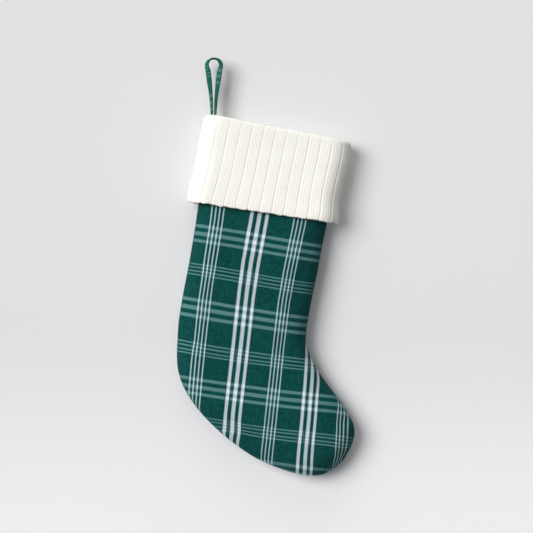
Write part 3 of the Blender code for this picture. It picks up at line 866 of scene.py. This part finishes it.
def make_knit():
    profile = knit_profile()
    columns = RIBS * COLUMNS_PER_RIB * SAMPLES_PER_COLUMN
    points = cuff_rows(profile[:, 0], profile[:, 1], columns)
    round_way = np.roll(points, -1, axis=1) - np.roll(points, 1, axis=1)
    normals = unit(np.cross(np.gradient(points, axis=0), round_way))
    if normals[30, np.argmin(points[30, :, 1]), 1] > 0:
        normals = -normals
    along = np.concatenate(([0], np.cumsum(np.linalg.norm(np.diff(points[:, 0], axis=0), axis=1))))
    height, groove = knit_relief(columns, profile, points)
    inner_rows = np.unique(np.concatenate((np.arange(0, len(profile) - 24, 14),
                                           np.arange(len(profile) - 24, len(profile), 2),
                                           [len(profile) - 1])))
    inner = (points - normals * KNIT)[inner_rows]
    points = points + normals * height[..., None]
    column = (np.arange(columns) / SAMPLES_PER_COLUMN) % 1
    end = 1 - np.abs(2 * column - 1)
    wobble = np.interp(np.arange(columns), np.arange(0, columns, 4),
                       rng.normal(0, 0.6, columns // 4), period=columns)
    hem = ramp(profile[:, 0], 115, 121)[:, None] * (profile[:, 1] < 2)[:, None]
    points[..., 2] -= hem * (1.1 * end + wobble - 0.9)
    # the groove value also sets the knit finish's painted shade in the rib grooves
    field = np.stack((
        np.broadcast_to(np.arange(columns) / SAMPLES_PER_COLUMN, groove.shape),
        np.broadcast_to(along[:, None], groove.shape), groove), -1)
    rows = np.concatenate((points, inner[::-1]))
    fields = np.concatenate((field, field[inner_rows][::-1]))
    faces = tube_faces(len(rows), columns, closed=True)
    return face_outwards(make_mesh("knit_rib_cuff", hang(rows), faces, {"knit": fields}))


def make_backing():
    drop = np.linspace(118, 8, 60)
    points = cuff_rows(drop, np.full(60, 2.6), 200)
    a, b = points[..., 0], points[..., 2]
    points[..., 1] *= 1 - 0.004 * (1 + waves(a, b, 45, 41))
    return thicken(make_mesh("cuff_interfacing", hang(points), grid_faces(60, 200, wrap=True)), 0.5)


# ---------------------------------------------------------------- threads

THREAD_SIDES = 7


def thread_tube(name, route, radius, stitch, closed=False):
    """A sewn thread along a route in millimetres, which dips at each needle hole."""
    route = np.asarray(route, float)
    if closed:
        route = np.concatenate((route, route[:1]))
    steps = np.linalg.norm(np.diff(route, axis=0), axis=1)
    arc = np.concatenate(([0], np.cumsum(steps)))
    count = max(2, int(arc[-1] / stitch)) * 6
    at = np.linspace(0, arc[-1], count + 1)[:count if closed else count + 1]
    middle = np.stack([np.interp(at, arc, route[:, k]) for k in range(3)], -1)
    if closed:
        run = unit(np.roll(middle, -1, axis=0) - np.roll(middle, 1, axis=0))
    else:
        run = unit(np.gradient(middle, axis=0))
    side = unit(np.cross(run, np.array((0.0, 1.0, 0.013))))
    up = np.cross(side, run)
    swell = 0.6 + 0.4 * np.abs(np.sin(pi * at / stitch)) ** 0.6
    angle = np.arange(THREAD_SIDES) * 2 * pi / THREAD_SIDES
    ring = (side[:, None] * np.cos(angle)[None, :, None] + up[:, None] * np.sin(angle)[None, :, None])
    points = middle[:, None] + ring * (radius * swell)[:, None, None]
    field = np.stack((np.broadcast_to(at[:, None], points.shape[:2]),
                      np.broadcast_to((angle / (2 * pi))[None], points.shape[:2]),
                      np.zeros(points.shape[:2])), -1)
    faces = tube_faces(len(points), THREAD_SIDES, closed)
    return face_outwards(make_mesh(name, hang(points), faces, {"thread": field}))


def body_seam_route(layer, reach):
    t = np.linspace(0, STATIONS, 240)
    s = np.linspace(0, 1, 24)[1:-1]
    left = layer.edge(0, t) + layer.inward(0, t) * reach
    right = layer.edge(1, t) + layer.inward(1, t) * reach
    toe = layer.surface(np.array([float(STATIONS)]), s)[0][:, [0, 2]] - unit(TOE_WAY) * reach
    flat = np.concatenate((left, toe, right[::-1]))
    return np.stack((flat[:, 0], 0 * flat[:, 0], flat[:, 1]), -1)


# ---------------------------------------------------------------- strap

def leg_middle(height, side):
    lean = FOOT[0] * height / FOOT[1]
    spacing = np.interp(height, LEG_HEIGHTS, LEG_SPACING)
    return np.stack((lean + side * spacing, 0 * height, height), -1)


def strap_route(heights):
    """Middle line of the strap from the left leg over the peg to the right leg, x, y, z in mm."""
    left = leg_middle(heights, -1)
    right = leg_middle(heights[::-1], 1)
    angle = np.linspace(pi, 0, 25)[1:-1]
    arc = np.stack((CROWN_RADIUS * np.cos(angle), 0 * angle,
                    CROWN_HEIGHT + CROWN_RADIUS * np.sin(angle)), -1)
    return np.concatenate((left, arc, right))


def evened(route, spacing, passes):
    """The route smoothed a little, as evenly spaced points and how far along it each one is."""
    for _ in range(passes):
        route[1:-1] = (route[:-2] + 2 * route[1:-1] + route[2:]) / 4
    arc = np.concatenate(([0], np.cumsum(np.linalg.norm(np.diff(route, axis=0), axis=1))))
    at = np.linspace(0, arc[-1], max(3, int(arc[-1] / spacing)))
    return np.stack([np.interp(at, arc, route[:, k]) for k in range(3)], -1), at


def strap_section(width, thick):
    """Half-folded cloth strap: flat faces, round folds, and a shallow row of stitching by each."""
    w = width / 2
    h = thick / 2
    edge = [(w - h * 0.7 + h * 0.7 * cos(q), h * sin(q)) for q in np.linspace(-pi / 2, pi / 2, 7)]
    top = [(x * w, h * (1 - dip)) for x, dip in
           ((0.72, 0.10), (0.62, 0.32), (0.52, 0.06), (0.2, 0.0), (-0.2, 0.0),
            (-0.52, 0.06), (-0.62, 0.32), (-0.72, 0.10))]
    half = edge + top
    return np.array(half + [(-x, -y) for x, y in half])


def strap_tube(route, widths, thicks, at, turn):
    """Points and faces of a strap swept along a route; turn is its angle about the vertical."""
    run = unit(np.gradient(route, axis=0))
    width_way = np.stack((-np.sin(turn), np.cos(turn), 0 * turn), -1)
    width_way = unit(width_way - run * (width_way * run).sum(-1, keepdims=True))
    out = np.cross(run, width_way)
    rings, fields = [], []
    for p, w, h, wide, thick, along in zip(route, width_way, out, widths, thicks, at):
        section = strap_section(wide, thick)
        rings.append(p + section[:, :1] * w + section[:, 1:] * h)
        fields.append(np.stack((np.full(len(section), along), section[:, 0], section[:, 1]), -1))
    return np.array(rings), tube_faces(len(rings), len(rings[0])), np.array(fields)


def strap_turn(route):
    return np.radians(np.interp(route[:, 2], TURN_HEIGHTS, LEG_TURN))


def make_upper_strap():
    heights = np.linspace(STRAP_SPLIT, CROWN_HEIGHT, 30)
    route, at = evened(strap_route(heights), 0.9, 3)
    at = at - at[-1] / 2
    points, faces, field = strap_tube(route, np.full(len(at), STRAP_WIDTH),
                                      np.full(len(at), STRAP_THICK), at, strap_turn(route))
    piece = face_outwards(make_mesh("loop_upper_strap", points * MM, faces, {"strip": field}))
    piece.data.set_sharp_from_angle(angle=radians(60))
    return piece, at[-1] * 2


def tail_middle(height):
    """Where the sewn-down end of the strap lies inside the mouth, as (a, y, b)."""
    a = np.interp(-height, TAIL_DROPS, TAIL_ACROSS)
    return np.stack((a, 0 * height, height), -1)


def make_lower_strap(from_top):
    parts = []
    length = 0
    for side in (-1, 1):
        heights = np.linspace(STRAP_SPLIT, FOOT[1] + 1.5, 34)
        leg = leg_middle(heights, side)
        tail = hang(tail_middle(np.linspace(-4.0, -TAIL_DROPS[-1], 16))) / MM
        tail[:, 0] += side * TAIL_APART
        route, at = evened(np.concatenate((leg, tail)), 0.9, 3)
        in_tail = ramp(-route[:, 2], *TAIL_BLEND)
        turn = strap_turn(route) * (1 - in_tail)
        widths = STRAP_WIDTH - TAIL_NARROWER * in_tail
        thicks = STRAP_THICK - TAIL_THINNER * in_tail
        points, faces, field = strap_tube(route, widths, thicks, side * (from_top + at), turn)
        parts.append((points, faces, field))
        length += at[-1]
    count = parts[0][0].reshape(-1, 3).shape[0]
    points = np.concatenate([p[0].reshape(-1, 3) for p in parts])
    field = np.concatenate([p[2].reshape(-1, 3) for p in parts])
    faces = parts[0][1] + [[i + count for i in f] for f in parts[1][1]]
    piece = face_outwards(make_mesh("loop_lower_strap", points * MM, faces, {"strip": field}))
    piece.data.set_sharp_from_angle(angle=radians(60))
    return piece, length


def make_bar_tack():
    """A dense zigzag of thread that holds the strap's end down."""
    turns = 13
    k = np.arange(turns * 2 + 1)
    y = np.linspace(-3.2, 3.2, len(k))
    b = -13.5 + 0.95 * np.where(k % 2, 1, -1)
    route = np.stack((np.full(len(k), -0.95), y, b), -1)
    return thread_tube("loop_bar_tack_stitches", route, 0.22, 1.0)


def make_label():
    """A blank folded label of satin ribbon, sewn into the lining's side seam."""
    u, v = np.meshgrid(np.linspace(0, 1, 36), np.linspace(0, 1, 48))
    points = np.stack((LABEL_CORNER[0] + LABEL_SIZE[0] * u,
                       1.5 * np.sin(pi * u) - 0.5 + 0.25 * np.sin(5 * v + 2 * u),
                       LABEL_CORNER[1] - LABEL_SIZE[1] * v), -1)
    return thicken(make_mesh("care_label_ribbon", hang(points), grid_faces(48, 36)), 0.35)


# ---------------------------------------------------------------- build

def toe_relief(t):
    return TOE_RELIEF * np.clip(1 - (STATIONS - t) / 3, 0, None)


def wadding_inset(t):
    return WADDING_INSET + toe_relief(t)


def lining_inset(t):
    deeper = (LINING_INSET - LINING_INSET_AT_MOUTH) * np.clip(t - 1, 0, 1)
    return LINING_INSET_AT_MOUTH + deeper + toe_relief(t)


def paint(piece, material, slot, body, *nodes):
    """Give a piece its material and the body that it rides on, and hide the nodes that it stands for;
    slot is not used.
    """
    piece.data.materials.append(material)
    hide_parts(*nodes)
    if body:
        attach(piece, body)
    return piece


def sew(piece, thread, node):
    """Paint a run of stitches, which rides on the stocking."""
    paint(piece, threads[thread], thread, "stocking", node)


plaid = {True: plaid_finish("plaid_twill"), False: plaid_finish("plaid_twill_back", (21.0, 17.0))}
# the second colour of each thread is its painted shade between the plies
threads = {
    "green_thread": thread_finish("green_thread", (0.014, 0.075, 0.065, 1), (0.005, 0.032, 0.028, 1)),
    "cream_thread": thread_finish("cream_thread", (0.84, 0.82, 0.75, 1), (0.60, 0.57, 0.49, 1)),
}
# the second colour of each cloth is its painted shade where the weave dips
lining_cloth = fabric_finish("lining_cloth", (0.80, 0.78, 0.71, 1), (0.62, 0.60, 0.53, 1),
                             0.9, 0.75, 0.15)
backing_cloth = fabric_finish("backing_cloth", (0.84, 0.82, 0.76, 1), (0.66, 0.64, 0.57, 1),
                              1.3, 0.85, 0.2)
label_satin = fabric_finish("label_satin", (0.90, 0.90, 0.88, 1), (0.78, 0.78, 0.76, 1),
                            0.6, 0.35, 0.05, 0.3)
fluff = wadding_finish()

fields = swelling()
for front, word in ((True, "front"), (False, "back")):
    sheet = body_sheet(f"{word}_plaid_sheet", Layer(front), 250, 104, PANEL,
                       swell_with(fields[front], front), hem=PANEL_HEM)
    paint(sheet, plaid[front], "plaid_fabric", "stocking", f"{word}_panel")
    pad = body_sheet(f"{word}_wadding_pad", Layer(front, wadding_inset, WADDING_EDGE), 150, 60,
                     WADDING, lumps(front), first=2.0)
    paint(pad, fluff, "wadding", "stocking", f"{word}_wadding")
    lining = body_sheet(f"{word}_lining_sheet", Layer(front, lining_inset), 150, 60, LINING,
                        creases(front))
    paint(lining, lining_cloth, "lining_fabric", "stocking", f"{word}_lining")

knit = paint(make_knit(), knit_finish(), "rib_knit", "stocking", "knit_cuff")
backing = paint(make_backing(), backing_cloth, "cuff_backing", "stocking", "cuff_backing")
label = paint(make_label(), label_satin, "label_satin", "stocking", "care_label")

sew(thread_tube("panel_seam_stitches", body_seam_route(Layer(True), SEAM_DEPTH), 0.28, 2.6),
    "green_thread", "panel_seam")
sew(thread_tube("lining_seam_stitches", body_seam_route(Layer(True, lining_inset), SEAM_DEPTH),
                0.3, 2.6), "cream_thread", "lining_seam")
ring = np.linspace(0, 1, 160, endpoint=False)
sew(thread_tube("cuff_hem_stitches", cuff_point(ring, 120, 2.85), 0.25, 3.0, closed=True),
    "cream_thread", "cuff_hem_stitch")
sew(thread_tube("mouth_stitches", cuff_point(ring, TURN_IN - 3, FOLD_WIDTH + 0.55), 0.3, 2.6,
                closed=True), "cream_thread", "mouth_seam")
drops = np.arange(7.0, 117.0, 1.3)
zigzag = cuff_point(np.where(np.arange(len(drops)) % 2, 0.012, 0.988), drops, -0.6)
sew(thread_tube("cuff_side_stitches", zigzag, 0.26, 1.3), "cream_thread", "cuff_side_seam")

strap_cloth = strap_finish()
upper, upper_length = make_upper_strap()
paint(upper, strap_cloth, "strap_fabric", None, "loop_crown")
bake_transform(upper)
lower, lower_length = make_lower_strap(upper_length / 2)
paint(lower, strap_cloth, "strap_fabric", None, "loop_legs", "loop_tail")
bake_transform(lower)
sew(make_bar_tack(), "green_thread", "loop_bar_tack")

# ---------------------------------------------------------------- stage, lights and camera

WALL_Y = 0.0245
FLOOR_Z = -0.80
CENTRE = (VIEW_CENTRE[0] * MM, 0.0, VIEW_CENTRE[1] * MM)


def stage_plane(name, corners, material):
    mesh = bpy.data.meshes.new(name)
    mesh.from_pydata(corners, [], [(0, 1, 2, 3)])
    mesh.materials.append(material)
    plane = bpy.data.objects.new(name, mesh)
    bpy.context.scene.collection.objects.link(plane)
    return plane


wall_paint = stage_finish("wall_paint", (0.82, 0.815, 0.825, 1), True)
floor_paint = stage_finish("floor_paint", (0.88, 0.88, 0.88, 1), False)
wall = stage_plane("wall", [(-1.5, WALL_Y, FLOOR_Z), (1.6, WALL_Y, FLOOR_Z),
                            (1.6, WALL_Y, 0.9), (-1.5, WALL_Y, 0.9)], wall_paint)
wall.visible_shadow = False         # so that the rear light reaches the back of the stocking
floor = stage_plane("floor", [(-16, -16, FLOOR_Z), (16, -16, FLOOR_Z),
                              (16, 16, FLOOR_Z), (-16, 16, FLOOR_Z)], floor_paint)
floor.visible_diffuse = False       # it would fill the soft shadows on the wall


def area_light(name, place, target, size, power):
    data = bpy.data.lights.new(name, "AREA")
    data.shape = "DISK"
    data.size = size
    data.energy = power
    lamp = bpy.data.objects.new(name, data)
    lamp.location = place
    lamp.rotation_euler = (Vector(target) - Vector(place)).to_track_quat("-Z", "Y").to_euler()
    lamp.visible_camera = False
    bpy.context.scene.collection.objects.link(lamp)


def sun_light(name, left, above, spread, energy):
    """A broad soft light far away, from so many degrees left of and above the front."""
    data = bpy.data.lights.new(name, "SUN")
    data.angle = radians(spread)
    data.energy = energy
    lamp = bpy.data.objects.new(name, data)
    left, above = radians(left), radians(above)
    way = Vector((sin(left) * cos(above), cos(left) * cos(above), -sin(above)))
    lamp.rotation_euler = way.to_track_quat("-Z", "Y").to_euler()
    bpy.context.scene.collection.objects.link(lamp)


sun_light("key", 37, 14, 38, 3.0)
sun_light("front", 4, 4, 50, 0.46)
sun_light("top", 20, 72, 40, 0.8)
area_light("rear", (1.2, 2.6, 0.9), CENTRE, 1.6, 20)

world = bpy.data.worlds.new("studio")
world.use_nodes = True
background = world.node_tree.nodes["Background"]
background.inputs["Color"].default_value = (0.93, 0.94, 0.96, 1)
background.inputs["Strength"].default_value = 0.18
bpy.context.scene.world = world
bpy.context.scene.view_settings.view_transform = "Standard"

camera_data = bpy.data.cameras.new("camera")
camera_data.sensor_width = 36
camera_data.lens = 120.6
camera = bpy.data.objects.new("camera", camera_data)
camera.location = (CENTRE[0], -VIEW_DISTANCE * MM, CENTRE[2])
camera.rotation_euler = (radians(90), 0, 0)
bpy.context.scene.collection.objects.link(camera)
bpy.context.scene.camera = camera

bpy.context.view_layer.update()
